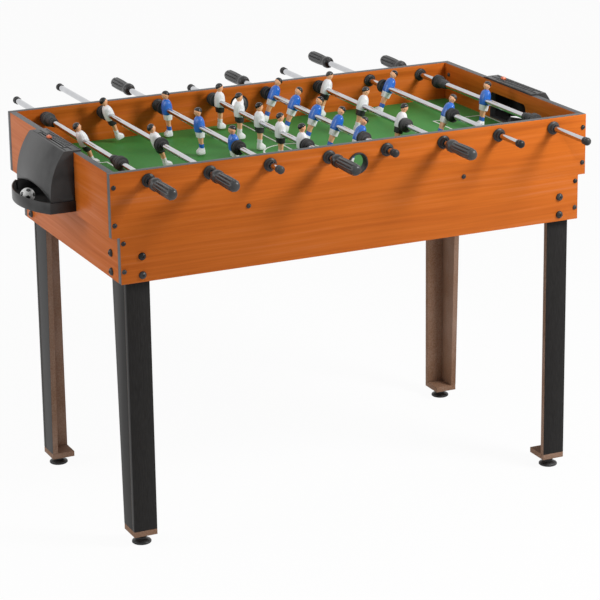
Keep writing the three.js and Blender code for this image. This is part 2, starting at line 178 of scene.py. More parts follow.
def new_finish(name, **surface):
    """A material of that name with its tree, its shader and its object coordinates."""
    material = bpy.data.materials.new(name)
    material.use_nodes = True
    tree = material.node_tree
    shader = tree.nodes["Principled BSDF"]
    wire(tree, shader, {key.replace("_", " "): value for key, value in surface.items()})
    return material, tree, shader, add(tree, "ShaderNodeTexCoord", out="Object")


def dress(tree, shader, shade, rough, height, depth_mm, strength):
    """Puts colour, roughness and a bump of that depth on the shader."""
    bump = add(tree, "ShaderNodeBump", {"Strength": strength, "Distance": depth_mm * MM, "Height": height})
    wire(tree, shader, {"Base Color": shade, "Roughness": rough, "Normal": bump})


def weighed(tree, *parts):
    """Patterns added up by their shares, as (pattern, share) pairs."""
    total = 0.0
    for pattern, share in reversed(parts):
        total = add(tree, "ShaderNodeMath", {0: pattern, 1: share, 2: total}, operation="MULTIPLY_ADD")
    return total


def lighter(shade, share):
    """A linear colour moved towards white, or towards black if share is negative."""
    goal = 1.0 if share > 0 else 0.0
    return (*[c + (goal - c) * abs(share) for c in shade[:3]], 1.0)


def cherry_laminate(settings):
    """Cherry print on laminate, pressed satin: level grain lines that waver, fine pores and a low shine."""
    material, tree, shader, place = new_finish(
        "cherry_print_laminate_satin", IOR=1.5, Specular_IOR_Level=0.12)

    def streaks(vector, along, across, detail, rough=0.6):
        """A pattern long along X and Y and short along Z, as the grain runs level on every board."""
        stretched = add(tree, "ShaderNodeMapping", {"Vector": vector, "Scale": (along, along, across)})
        return add(tree, "ShaderNodeTexNoise", {
            "Vector": stretched, "Scale": 1.0, "Detail": detail, "Roughness": rough})

    bend = streaks(place, 1.8, 6, 1.0, 0.5)
    shift = add(tree, "ShaderNodeMapRange", {"Value": bend, "To Min": -0.016, "To Max": 0.016})
    wavy = add(tree, "ShaderNodeVectorMath", {
        0: place, 1: add(tree, "ShaderNodeCombineXYZ", {"Z": shift})}, operation="ADD")
    per_m = 1 / settings.grain_gap
    broad = streaks(wavy, 1.6, per_m * 0.22, 2.0)
    lines = streaks(wavy, 3.0, per_m, 3.0)
    # Pores are about 0.4 mm wide in the print; they are drawn at 1.2 mm so that they show.
    pores = streaks(wavy, 14.0, 830.0, 1.0)
    mixed = weighed(tree, (lines, 0.55), (broad, 0.35), (pores, 0.10))
    wood = tuple(settings.wood)
    shade = add(tree, "ShaderNodeValToRGB", {"Fac": mixed}, stops=[
        (0.36, tuple(settings.grain)), (0.54, wood), (0.68, lighter(wood, 0.03))])
    rough = add(tree, "ShaderNodeMapRange", {
        "Value": mixed, "From Min": 0.35, "From Max": 0.65, "To Min": 0.48, "To Max": 0.38})
    dress(tree, shader, shade, rough, pores, 0.03, 0.15)
    return material


def moulded(name, shade, roughness, grain_mm, bump_mm, spread, specular=0.5):
    """Moulded plastic or paint: a fine grain of that size, and slow changes of tone and shine."""
    material, tree, shader, place = new_finish(name, Specular_IOR_Level=specular)
    fine = add(tree, "ShaderNodeTexNoise", {"Vector": place, "Scale": 1 / (grain_mm * MM), "Detail": 2.0})
    slow = add(tree, "ShaderNodeTexNoise", {"Vector": place, "Scale": 18.0, "Detail": 2.0})
    tone = add(tree, "ShaderNodeValToRGB", {"Fac": slow}, stops=[
        (0.3, lighter(shade, -spread)), (0.7, lighter(shade, spread))])
    rough = add(tree, "ShaderNodeMapRange", {
        "Value": slow, "From Min": 0.3, "From Max": 0.7,
        "To Min": roughness - 0.06, "To Max": roughness + 0.06})
    dress(tree, shader, tone, rough, fine, bump_mm, 0.3)
    return material


def raw_fibreboard(settings):
    """Bare fibreboard, pressed and sanded: dry, speckled brown with short fibres."""
    material, tree, shader, place = new_finish("fibreboard_sanded_bare", IOR=1.45)
    fibre = add(tree, "ShaderNodeTexNoise", {
        "Vector": place, "Scale": 330.0, "Detail": 3.0, "Roughness": 0.7})
    cloud = add(tree, "ShaderNodeTexNoise", {"Vector": place, "Scale": 9.0, "Detail": 3.0})
    shade = tuple(settings.raw)
    tone = add(tree, "ShaderNodeValToRGB", {"Fac": weighed(tree, (fibre, 0.5), (cloud, 0.5))}, stops=[
        (0.35, lighter(shade, -0.25)), (0.65, lighter(shade, 0.12))])
    rough = add(tree, "ShaderNodeMapRange", {"Value": fibre, "To Min": 0.7, "To Max": 0.9})
    dress(tree, shader, tone, rough, fibre, 0.15, 0.4)
    return material


def leg_laminate(settings):
    """Black laminate on the legs, pressed with a faint upright grain: warm black, broken highlights."""
    material, tree, shader, place = new_finish(
        "black_laminate_brushed_grain", IOR=1.5, Specular_IOR_Level=0.16)
    stretched = add(tree, "ShaderNodeMapping", {"Vector": place, "Scale": (700, 700, 60)})
    grain = add(tree, "ShaderNodeTexNoise", {"Vector": stretched, "Scale": 1.0, "Detail": 2.0})
    shade = tuple(settings.leg)
    tone = add(tree, "ShaderNodeValToRGB", {"Fac": grain}, stops=[
        (0.3, lighter(shade, -0.1)), (0.7, lighter(shade, 0.008))])
    rough = add(tree, "ShaderNodeMapRange", {"Value": grain, "To Min": 0.42, "To Max": 0.56})
    dress(tree, shader, tone, rough, grain, 0.03, 0.2)
    return material


def printed_field(settings):
    """Green print on hardboard, rolled matt: soft cloudy green with little shine."""
    material, tree, shader, place = new_finish("green_print_hardboard_matt", IOR=1.5, Specular_IOR_Level=0.15)
    cloud = add(tree, "ShaderNodeTexNoise", {"Vector": place, "Scale": 3.5, "Detail": 3.0})
    dots = add(tree, "ShaderNodeTexNoise", {"Vector": place, "Scale": 260.0, "Detail": 2.0})
    tone = add(tree, "ShaderNodeValToRGB", {"Fac": weighed(tree, (cloud, 0.75), (dots, 0.25))}, stops=[
        (0.35, tuple(settings.green)), (0.65, tuple(settings.green_light))])
    rough = add(tree, "ShaderNodeMapRange", {"Value": dots, "To Min": 0.5, "To Max": 0.6})
    dress(tree, shader, tone, rough, dots, 0.03, 0.2)
    return material


def chromed_steel():
    """Chromed steel tube, drawn and polished: bright, with faint lines round it and slight haze."""
    material, tree, shader, place = new_finish("steel_tube_chromed", Metallic=1.0)
    rings = add(tree, "ShaderNodeMapping", {"Vector": place, "Scale": (40, 900, 40)})
    lines = add(tree, "ShaderNodeTexNoise", {"Vector": rings, "Scale": 1.0, "Detail": 1.0})
    haze = add(tree, "ShaderNodeTexNoise", {"Vector": place, "Scale": 30.0, "Detail": 3.0})
    base = colour("#C9CACD")
    wire(tree, shader, {
        "Base Color": add(tree, "ShaderNodeValToRGB", {"Fac": haze}, stops=[
            (0.3, lighter(base, -0.12)), (0.7, base)]),
        "Roughness": add(tree, "ShaderNodeMapRange", {"Value": lines, "To Min": 0.06, "To Max": 0.18})})
    return material


def stitched_ball_finish():
    """Moulded ball in two colours: black five-sided patches on white, with sunk seams."""
    material, tree, shader, place = new_finish("game_ball_moulded_gloss", IOR=1.5, Coat_Weight=0.2)
    patch = add(tree, "ShaderNodeAttribute", out="Fac", attribute_name="patch")
    split = add(tree, "ShaderNodeMapRange", {"Value": patch, "From Min": -0.02, "From Max": 0.02})
    tone = add(tree, "ShaderNodeValToRGB", {"Fac": split}, stops=[
        (0.40, colour("#EDEDEB")), (0.5, colour("#9A9A98")), (0.60, colour("#131314"))])
    grain = add(tree, "ShaderNodeTexNoise", {"Vector": place, "Scale": 1500.0, "Detail": 1.0})
    rough = add(tree, "ShaderNodeMapRange", {"Value": grain, "To Min": 0.28, "To Max": 0.4})
    dress(tree, shader, tone, rough, grain, 0.03, 0.25)
    return material


_finishes = {}


def finish(name):
    """A finish by its short name, made once."""
    if name in _finishes:
        return _finishes[name]
    scene = bpy.context.scene
    boards, field, fittings = scene.foosball_boards, scene.foosball_field, scene.foosball_fittings
    teams, black = scene.foosball_teams, tuple(fittings.plastic)
    patterned = {
        "cherry": (cherry_laminate, boards), "raw": (raw_fibreboard, boards), "leg": (leg_laminate, boards),
        "field": (printed_field, field), "chrome": (chromed_steel,), "ball": (stitched_ball_finish,),
    }
    # Name, colour, roughness, grain size in mm, grain depth in mm, change of tone and specular level.
    even = {
        # ABS edge band, extruded: even dark grey with a dull shine.
        "band": ("edge_band_abs_extruded", boards.band, 0.5, 0.8, 0.04, 0.05),
        # White screen print: flat and slightly chalky.
        "line": ("white_screen_print", field.line, 0.5, 1.0, 0.02, 0.02),
        # Polypropylene, moulded with a fine spark texture: black with soft highlights.
        "plastic": ("black_polypropylene_moulded", black, 0.36, 0.9, 0.05, 0.06, 0.2),
        # Vinyl grip, moulded: a little glossier than the bearings, so that its ribs catch light.
        "grip": ("grip_vinyl_moulded", lighter(black, -0.1), 0.3, 1.2, 0.04, 0.06, 0.34),
        # Rubber bumper: dull black.
        "rubber": ("rubber_bumper_matt", lighter(black, -0.15), 0.55, 0.8, 0.06, 0.08, 0.18),
        # ABS hood, moulded with a leather-like spark texture: near black with wide soft highlights.
        "hood": ("hood_abs_textured", fittings.hood, 0.36, 1.4, 0.07, 0.05, 0.26),
        # Polystyrene knob, moulded glossy.
        "marker": ("marker_polystyrene_gloss", fittings.marker, 0.25, 1.5, 0.02, 0.04),
        # Screw heads, black lacquer on steel, dipped: near black with a small sharp highlight.
        "screw": ("steel_black_lacquer", colour("#0B0B0C"), 0.2, 0.7, 0.02, 0.08, 0.16),
        # Figure paint, sprayed on moulded plastic: smooth and glossy.
        "white_paint": ("figure_paint_white", teams.white_shirt, 0.3, 1.6, 0.03, 0.02),
        "blue_paint": ("figure_paint_blue", teams.blue_shirt, 0.28, 1.6, 0.03, 0.05),
        "dark_paint": ("figure_paint_black", teams.dark, 0.28, 1.6, 0.03, 0.05, 0.25),
        "skin_paint": ("figure_paint_skin", teams.skin, 0.36, 1.6, 0.03, 0.03),
        "hair_paint": ("figure_paint_hair", teams.hair, 0.2, 1.0, 0.06, 0.05, 0.3),
    }
    maker, *given = patterned.get(name) or (moulded, *even[name])
    _finishes[name] = maker(*given)
    return _finishes[name]


# ---- mesh making --------------------------------------------------------------------------------

class Form:
    """Points and faces of a piece while it is drawn, in millimetres, with a finish number for each face."""

    def __init__(self):
        self.points, self.faces, self.numbers = [], [], []

    def add(self, points, faces, number=0, place=None):
        """Points and faces, moved by `place`; `number` is one finish, or one for each face."""
        start = len(self.points)
        self.points += [place @ Vector(p) if place else Vector(p) for p in points]
        self.faces += [[start + i for i in face] for face in faces]
        self.numbers += list(number) if hasattr(number, "__len__") else [number] * len(faces)

    def box(self, x0, x1, y0, y1, z0, z1, number=0, place=None):
        """A block between two corners; `number` may be six finishes for -X +X -Y +Y -Z +Z."""
        points = [(x, y, z) for x in (x0, x1) for y in (y0, y1) for z in (z0, z1)]
        faces = [(0, 1, 3, 2), (4, 6, 7, 5), (0, 4, 5, 1), (2, 3, 7, 6), (0, 2, 6, 4), (1, 5, 7, 3)]
        self.add(points, faces, number, place)

    def slab(self, loops, axis, low, high, face=0, edge=0, place=None):
        """A flat piece with holes. loops holds the outline and the holes, across `axis`."""
        flat = [p for loop in loops for p in loop]
        count = len(flat)
        order = {"X": (2, 0, 1), "Y": (0, 2, 1), "Z": (0, 1, 2)}[axis]
        points = [tuple((a, b, d)[i] for i in order) for d in (low, high) for a, b in flat]
        caps = tessellate_polygon([[Vector((a, b, 0)) for a, b in loop] for loop in loops])
        faces = [tuple(c) for c in caps] + [tuple(i + count for i in c) for c in caps]
        numbers = [face] * len(faces)
        start = 0
        for loop in loops:
            size = len(loop)
            for i in range(size):
                j = (i + 1) % size
                faces.append((start + i, start + j, start + j + count, start + i + count))
                numbers.append(edge)
            start += size
        self.add(points, faces, numbers, place)

    def turned(self, profile, sides=40, closed=False, number=0, place=None, ribs=None):
        """A profile of (radius, place) pairs turned about the Y axis. ribs(along, angle) scales a radius."""
        points = []
        for radius, along in profile:
            for angle in angles(sides):
                r = radius * (ribs(along, angle) if ribs else 1)
                points.append((r * math.cos(angle), along, r * math.sin(angle)))
        rows = len(profile)
        faces = []
        for i in range(rows if closed else rows - 1):
            j = (i + 1) % rows
            for s in range(sides):
                t = (s + 1) % sides
                faces.append((i * sides + s, i * sides + t, j * sides + t, j * sides + s))
        self.add(points, faces, number, place)

    def lofted(self, rings, number=0, place=None):
        """A skin over rings of points, closed at both ends; `number` may be one finish for each band."""
        size = len(rings[0])
        points = [p for ring in rings for p in ring]
        faces, numbers = [], []
        for i in range(len(rings) - 1):
            for s in range(size):
                t = (s + 1) % size
                faces.append((i * size + s, i * size + t, (i + 1) * size + t, (i + 1) * size + s))
                numbers.append(number[i] if hasattr(number, "__len__") else number)
        last = (len(rings) - 1) * size
        faces += [tuple(range(size)), tuple(last + s for s in range(size))]
        numbers += [number[0], number[-1]] if hasattr(number, "__len__") else [number, number]
        self.add(points, faces, numbers, place)


def tidy_mesh(mesh):
    """Merges doubles and turns every face outwards."""
    bm = bmesh.new()
    bm.from_mesh(mesh)
    bmesh.ops.remove_doubles(bm, verts=bm.verts, dist=2e-6)
    bmesh.ops.dissolve_degenerate(bm, edges=bm.edges, dist=1e-7)
    bmesh.ops.recalc_face_normals(bm, faces=bm.faces)
    bm.to_mesh(mesh)
    bm.free()


def link_object(name, data):
    """An object in the scene that holds that data."""
    made = bpy.data.objects.new(name, data)
    bpy.context.scene.collection.objects.link(made)
    return made


def to_object(name, form, finishes):
    """A mesh object from a form."""
    mesh = bpy.data.meshes.new(name)
    mesh.from_pydata([tuple(p * MM) for p in form.points], [], form.faces)
    for made in finishes:
        mesh.materials.append(finish(made))
    mesh.polygons.foreach_set("material_index", form.numbers)
    tidy_mesh(mesh)
    return link_object(name, mesh)


def settle(piece):
    """Applies a piece's modifiers to its mesh."""
    bpy.context.view_layer.update()
    graph = bpy.context.evaluated_depsgraph_get()
    mesh = bpy.data.meshes.new_from_object(
        piece.evaluated_get(graph), preserve_all_data_layers=True, depsgraph=graph)
    old = piece.data
    piece.modifiers.clear()
    piece.data = mesh
    mesh.name = piece.name
    bpy.data.meshes.remove(old)


def ease(piece, width_mm, angle=40):
    """Rounds a piece's sharp edges by that width."""
    bevel = piece.modifiers.new("eased_edges", "BEVEL")
    bevel.width = width_mm * MM
    bevel.segments = 2
    bevel.limit_method = "ANGLE"
    bevel.angle_limit = math.radians(angle)
    bevel.use_clamp_overlap = True
    settle(piece)


def cut(piece, other, operation="DIFFERENCE"):
    """Cuts `other` out of a piece, or joins it on, and removes it."""
    tool = piece.modifiers.new("cut", "BOOLEAN")
    tool.object = other
    tool.operation = operation
    tool.solver = "EXACT"
    settle(piece)
    mesh = other.data
    bpy.data.objects.remove(other)
    bpy.data.meshes.remove(mesh)


def place_piece(piece, body, nodes=(), crease=38):
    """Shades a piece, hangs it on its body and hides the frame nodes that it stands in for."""
    piece.data.shade_smooth()
    piece.data.set_sharp_from_angle(angle=math.radians(crease))
    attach(piece, body)
    if nodes:
        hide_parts(*nodes)


def make(name, form, finishes, body, nodes=(), crease=38, round_mm=0):
    """A finished piece from a form, with its edges rounded by that width."""
    piece = to_object(name, form, finishes)
    if round_mm:
        ease(piece, round_mm)
    place_piece(piece, body, nodes, crease)


def angles(count):
    """Even steps round a circle."""
    return [2 * math.pi * s / count for s in range(count)]


def circle(x, z, radius, sides=32):
    """A round outline."""
    return [(x + radius * math.cos(a), z + radius * math.sin(a)) for a in angles(sides)]


def arc_points(cx, cy, radius, start, end, count):
    """Points along an arc, in degrees."""
    return [(cx + radius * math.cos(math.radians(start + (end - start) * i / count)),
             cy + radius * math.sin(math.radians(start + (end - start) * i / count)))
            for i in range(count + 1)]


def curve_points(a, b, c, count):
    """Points along a quadratic curve from a to c, drawn towards b, without its first point."""
    out = []
    for i in range(1, count + 1):
        t = i / count
        out.append(tuple((1 - t) ** 2 * p + 2 * (1 - t) * t * q + t * t * r for p, q, r in zip(a, b, c)))
    return out


# ---- geometry nodes: fittings repeated at points ------------------------------------------------

def fitting_tree():
    """A node tree that sets one part at every point, its Z along the point's `out` vector."""
    name = "fittings_at_points"
    if name in bpy.data.node_groups:
        return bpy.data.node_groups[name]
    tree = bpy.data.node_groups.new(name, "GeometryNodeTree")
    face = tree.interface
    for label, kind in (("Geometry", "Geometry"), ("Part", "Object"), ("Diameter", "Float"),
                        ("Height", "Float"), ("Finish", "Material")):
        face.new_socket(name=label, in_out="INPUT", socket_type=f"NodeSocket{kind}")
    face.new_socket(name="Geometry", in_out="OUTPUT", socket_type="NodeSocketGeometry")
    given = tree.nodes.new("NodeGroupInput").outputs
    part = add(
        tree, "GeometryNodeObjectInfo", {"Object": given["Part"]}, "Geometry", transform_space="ORIGINAL")
    out = add(tree, "GeometryNodeInputNamedAttribute", {"Name": "out"}, "Attribute", data_type="FLOAT_VECTOR")
    turn = add(tree, "FunctionNodeAlignRotationToVector", {"Vector": out}, axis="Z")
    size = add(tree, "ShaderNodeCombineXYZ", {
        "X": given["Diameter"], "Y": given["Diameter"], "Z": given["Height"]})
    set_out = add(tree, "GeometryNodeInstanceOnPoints", {
        "Points": given["Geometry"], "Instance": part, "Rotation": turn, "Scale": size})
    solid = add(tree, "GeometryNodeRealizeInstances", {"Geometry": set_out})
    painted = add(tree, "GeometryNodeSetMaterial", {"Geometry": solid, "Material": given["Finish"]})
    end = tree.nodes.new("NodeGroupOutput")
    wire(tree, end, {"Geometry": painted})
    return tree


def repeat(name, part, spots, diameter_mm, height_mm, finish_name):
    """One piece of like fittings on the cabinet, from a part of size 1, at (place in mm, way out) spots."""
    pattern = bpy.data.meshes.new("pattern")
    pattern.from_pydata([tuple(p) for p in part.points], [], part.faces)
    tidy_mesh(pattern)
    pattern_object = link_object("pattern", pattern)
    mesh = bpy.data.meshes.new(name)
    mesh.from_pydata([tuple(Vector(place) * MM) for place, _ in spots], [], [])
    out = mesh.attributes.new("out", "FLOAT_VECTOR", "POINT")
    out.data.foreach_set("vector", [c for _, direction in spots for c in direction])
    piece = link_object(name, mesh)
    tree = fitting_tree()
    nodes = piece.modifiers.new("fittings", "NODES")
    values = {"Part": pattern_object, "Diameter": diameter_mm * MM, "Height": height_mm * MM,
              "Finish": finish(finish_name)}
    nodes.node_group = tree
    for item in tree.interface.items_tree:
        if item.in_out == "INPUT" and item.name in values:
            nodes[item.identifier] = values[item.name]
    settle(piece)
    bpy.data.objects.remove(pattern_object)
    bpy.data.meshes.remove(pattern)
    if not piece.data.polygons:
        raise RuntimeError(f"{name} came out empty")
    tidy_mesh(piece.data)
    place_piece(piece, "cabinet")


# Turns a form made about Y so that it stands on Z.
UP_AXIS = Matrix(((1, 0, 0, 0), (0, 0, -1, 0), (0, 1, 0, 0), (0, 0, 0, 1)))


# ---- cabinet ------------------------------------------------------------------------------------

# Sizes of the cabinet in millimetres.
FIT = 0.3  # gap between boards that meet
STEP_DOWN = 130  # rim to the step in the cabinet
END_STEP = 17  # how far the lower boards stand in at each end
BACK_STEP = 32  # and at the back
FIELD_DOWN = 84  # rim to the field
FIELD_BOARD = 9
BEAM_AT, BEAM_HALF = 243, 10
GOAL_HALF, GOAL_HIGH, GOAL_ROUND = 78, 58, 12
ENTRY_DOWN = 42  # rim to the middle of the ball entries
ENTRY_RING, ENTRY_HOLE = 22, 18  # radii


def rod_axes():
    """Each rod's axis as (x, z)."""
    boxes = [box_mm(f"rod_{k}") for k in range(1, len(RODS) + 1)]
    return [((low.x + high.x) / 2, (low.z + high.z) / 2) for low, high in boxes]


class OBJECT_OT_foosball_boards(bpy.types.Operator):
    """Front, back and end boards with their edge bands, rod holes, ball entries and goals"""
    bl_idname = "foosball.boards"
    bl_label = "Cabinet boards"

    def execute(self, context):
        board = context.scene.foosball_boards.board / MM
        hub = context.scene.foosball_fittings.hub / MM / 2
        front_low, front_high = box_mm("front_panel")
        back_low, back_high = box_mm("back_panel")
        end_low, end_high = box_mm("end_panel_right")
        rim, foot, out_x = front_high.z, front_low.z, front_high.x
        step = rim - STEP_DOWN
        low_x = out_x - END_STEP
        holes = [*(circle(x, z, hub) for x, z in rod_axes()), circle(0, rim - ENTRY_DOWN, ENTRY_RING)]
        finishes = ("cherry", "band", "raw")

        front = Form()
        outline = [(-low_x, foot), (low_x, foot), (low_x, step), (out_x, step), (out_x, rim),
                   (-out_x, rim), (-out_x, step), (-low_x, step)]
        face = end_low.y - FIT
        front.slab([outline, *holes], "Y", face - board, face, 0, 1)
        make("front_board", front, finishes, "cabinet", ["front_panel"], round_mm=0.8)

        back = Form()
        upper_in = end_high.y + FIT
        upper = [(-out_x, step), (out_x, step), (out_x, rim), (-out_x, rim)]
        back.slab([upper, *holes], "Y", upper_in, upper_in + board, 0, 1)
        lower_out = upper_in + board - BACK_STEP
        back.slab([[(-low_x, foot), (low_x, foot), (low_x, step), (-low_x, step)]], "Y",
                  lower_out - board, lower_out, 0, 1)
        inner = low_x - board - FIT
        # The batten that ties the upper board to the lower one.
        batten_in, batten_out = lower_out - board, upper_in + 0.2
        profile = [(batten_in, step - board), (lower_out - 1, step - board), (lower_out - 1, step - 0.2),
                   (batten_out, step - 0.2), (batten_out, step + board), (batten_in, step + board)]
        back.slab([profile], "X", -inner, inner, 2, 2)
        make("back_boards", back, finishes, "cabinet", ["back_panel"], round_mm=0.8)

        floor = rim - FIELD_DOWN
        middle = (end_low.y + end_high.y) / 2
        bend, bend_z = GOAL_HALF - GOAL_ROUND, floor + GOAL_HIGH - GOAL_ROUND
        goal = [(middle - GOAL_HALF, floor), (middle + GOAL_HALF, floor),
                *arc_points(middle + bend, bend_z, GOAL_ROUND, 0, 90, 8),
                *arc_points(middle - bend, bend_z, GOAL_ROUND, 90, 180, 8)]
        ledge_top = floor - FIELD_BOARD - FIT
        for side, turn in zip(SIDE_NAMES, (-1, 1)):
            end = Form()

            def across(a, b):
                return sorted((turn * a, turn * b))

            y0, y1 = end_low.y, end_high.y
            end.slab([[(y0, step), (y1, step), (y1, rim), (y0, rim)], goal], "X",
                     *across(out_x - board, out_x), 0, 1)
            lower_y1 = lower_out - board - FIT
            end.slab([[(y0, foot), (lower_y1, foot), (lower_y1, step), (y0, step)]], "X",
                     *across(low_x - board, low_x), 0, 1)
            end.box(*across(low_x - board, out_x - board - 0.05), y0, lower_y1, step, ledge_top, 2)
            make(f"end_boards_{side}", end, finishes, "cabinet", [f"end_panel_{side}"],
                 round_mm=0.8)
        return {"FINISHED"}


class OBJECT_OT_foosball_field(bpy.types.Operator):
    """Playing field with printed lines, on two beams"""
    bl_idname = "foosball.field"
    bl_label = "Playing field"

    def execute(self, context):
        settings = context.scene.foosball_field
        low, high = box_mm("playfield")
        middle = (low.y + high.y) / 2
        top = high.z - 0.2
        print_z = (top - 0.05, high.z)
        width = settings.line_width / MM
        form = Form()
        under = high.z - FIELD_BOARD
        form.box(low.x, high.x, low.y, high.y, under, top, (2, 2, 2, 2, 2, 0))
        for at in (-BEAM_AT, BEAM_AT):
            form.box(at - BEAM_HALF, at + BEAM_HALF, low.y, high.y, low.z, under - 0.05, 2)
        deep = high.x - settings.box_deep / MM
        wide = settings.box_wide / MM / 2
        half = width / 2

        def stripe(x0, x1, y0, y1):
            form.box(x0, x1, middle + y0, middle + y1, *print_z, 1)

        ring = settings.circle / MM / 2
        stripe(-half, half, low.y - middle + 1, -ring - half + 0.1)
        stripe(-half, half, -ring + half - 0.1, ring - half + 0.1)
        stripe(-half, half, ring + half - 0.1, high.y - middle - 1)
        rings = [circle(0, middle, ring + away, 96) for away in (half, -half)]
        form.slab(rings, "Z", *print_z, 1, 1)
        for s in (-1, 1):
            goal_line = high.x - 7
            stripe(*sorted((s * (deep - half), s * (deep + half))), -wide - half, wide + half)
            for t in (-1, 1):
                stripe(*sorted((s * (deep + half), s * goal_line)), t * wide - half, t * wide + half)
            stripe(*sorted((s * goal_line, s * (goal_line + width))), -wide - half, wide + half)
        make("field_board", form, ("field", "line", "raw"), "cabinet", ["playfield"])
        return {"FINISHED"}


class OBJECT_OT_foosball_bearings(bpy.types.Operator):
    """Rod bearings on both long boards and the rings of the two ball entries"""
    bl_idname = "foosball.bearings"
    bl_label = "Bearings and entries"

    def execute(self, context):
        settings = context.scene.foosball_fittings
        flange, hub = settings.flange / MM / 2, settings.hub / MM / 2
        bore = settings.rod / MM / 2 + 0.25
        board = context.scene.foosball_boards.board / MM
        end_low, end_high = box_mm("end_panel_right")
        front_y, back_y = end_low.y - FIT, end_high.y + FIT
        # Faces of the two long boards: outer face, inner face, outward direction.
        faces = {"front": (front_y - board, front_y, -1), "back": (back_y + board, back_y, 1)}

        def bearing(nose):
            made = Form()
            profile = [(bore, 0), (flange - 0.6, 0), (flange, 0.8), (flange, 2.6), (flange - 1.2, 3.6),
                       (hub + 2.2, 4.0), (hub + 0.5, 4.8), (hub, 6.2), (hub, nose - 1.4), (hub - 1.2, nose),
                       (bore + 1.4, nose), (bore, nose - 1.2)]
            made.turned(profile, 40, True, 0, UP_AXIS)
            return made

        for side, (outer, inner, out) in faces.items():
            for where, nose, y, way in (("outside", 12, outer, out), ("inside", 8, inner, -out)):
                spots = [((x, y, z), (0, way, 0)) for x, z in rod_axes()]
                repeat(f"bearings_{side}_{where}", bearing(nose), spots, 1, 1, "plastic")
            ring = Form()
            lip = outer + out * 3
            r, hole = ENTRY_RING, ENTRY_HOLE
            ring.turned([(hole, inner), (hole, lip - out * 1.2), (hole + 1, lip), (r - 1.2, lip),
                         (r, lip - out), (r, outer), (r - 0.3, outer), (r - 0.3, inner)], 48, True, 0,
                        Matrix.Translation((0, 0, box_mm("front_panel")[1].z - ENTRY_DOWN)))
            make(f"entry_ring_{side}", ring, ("plastic",), "cabinet")
        return {"FINISHED"}


class OBJECT_OT_foosball_legs(bpy.types.Operator):
    """Four angle legs with their base plates and levelling feet"""
    bl_idname = "foosball.legs"
    bl_label = "Legs"

    def execute(self, context):
        board = context.scene.foosball_boards.leg_board / MM
        for place, sx, sy in (("front_right", 1, 1), ("front_left", -1, 1),
                              ("back_right", 1, -1), ("back_left", -1, -1)):
            low, high = box_mm(f"leg_{place}")
            corner = (high.x if sx > 0 else low.x, low.y if sy > 0 else high.y, 0)
            turn = Matrix.Translation(corner) @ Matrix.Diagonal((sx, sy, 1, 1))
            top = high.z
            form = Form()
            # Finishes: 0 black laminate outside, 1 bare fibreboard inside and on the edges.
            width = high.x - low.x
            form.box(-width, 0, 0, board, 33, top, (1, 0, 0, 1, 1, 1), turn)
            side = [(board + 0.05, 33), (57, 33), (80, top), (board + 0.05, top)]
            count = len(form.faces)
            form.slab([side], "X", -board, 0, 0, 1, turn)
            for i in range(count, len(form.faces)):
                if all(abs((turn.inverted() @ form.points[v]).x + board) < 0.01 for v in form.faces[i]):
                    form.numbers[i] = 1
            form.box(-width, 0, 0, 57, 21, 32.9, 1, turn)
            make(f"leg_boards_{place}", form, ("leg", "raw"), "cabinet", [f"leg_{place}"],
                 round_mm=0.7)
            foot = Form()
            stand = turn @ Matrix.Translation((-24, 24, 0)) @ UP_AXIS
            sole = [(0, 0), (18.6, 0), (20, 1.2), (20, 3.6), (18.8, 5.2), (12, 8.2), (10.5, 9.4), (10.5, 12.6),
                    (9.6, 13.6), (0, 13.6)]
            foot.turned(sole, 36, False, 0, stand)
            nut = [(0, 13.7), (8.4, 13.7), (8.4, 17.2), (0, 17.2)]
            foot.turned(nut, 6, False, 1, stand)
            thread = [(0, 17.3)]
            for i in range(4):
                thread += [(4.1, 17.3 + i), (4.9, 17.7 + i), (4.1, 18.1 + i)]
            foot.turned(thread + [(0, 21.2)], 20, False, 1, stand)
            make(f"levelling_foot_{place}", foot, ("plastic", "chrome"), "cabinet")
        return {"FINISHED"}


class OBJECT_OT_foosball_screws(bpy.types.Operator):
    """Screw heads and leg bolts of the cabinet"""
    bl_idname = "foosball.screws"
    bl_label = "Screws and bolts"

    def execute(self, context):
        settings = context.scene.foosball_fittings
        board = context.scene.foosball_boards.board / MM
        end_low, end_high = box_mm("end_panel_right")
        middle = (end_low.y + end_high.y) / 2
        front = end_low.y - FIT - board
        back = end_high.y + FIT + board
        low_back = back - BACK_STEP
        rim = end_high.z
        low_end = end_high.x - END_STEP
        small, large = [], []
        for s in (-1, 1):
            for x, down, behind in ((527.5, 28, back), (527.5, 104, back), (511, 142.5, low_back),
                                    (511, 200, low_back), (BEAM_AT, 100, back)):
                small += [((s * x, front, rim - down), (0, -1, 0)), ((s * x, behind, rim - down), (0, 1, 0))]
            for y in (-271, 271):
                small.append(((s * (end_high.x - board), middle + y, rim - 25), (-s, 0, 0)))
            for down in (173, 211.5):
                large += [((s * 473, front, rim - down), (0, -1, 0)),
                          ((s * 473, low_back, rim - down), (0, 1, 0))]
                large += [((s * low_end, middle - 254, rim - down), (s, 0, 0)),
                          ((s * low_end, middle + 226, rim - down), (s, 0, 0))]
        dome = Form()
        # A domed head of diameter 1 and height 1, with a round recess for the driver.
        crown = [(0.5 * math.cos(a), 0.12 + 0.88 * math.sin(a)) for a in map(math.radians, range(0, 80, 10))]
        dome.turned([(0, 0), (0.5, 0), *crown, (0.15, 0.99), (0.14, 0.7), (0, 0.62)], 20, False, 0, UP_AXIS)
        screw, bolt = settings.screw / MM, settings.bolt / MM
        repeat("cabinet_screws", dome, small, screw, screw * 0.36, "screw")
        repeat("leg_bolts", dome, large, bolt, bolt * 0.38, "screw")
        return {"FINISHED"}


# ---- ball return --------------------------------------------------------------------------------

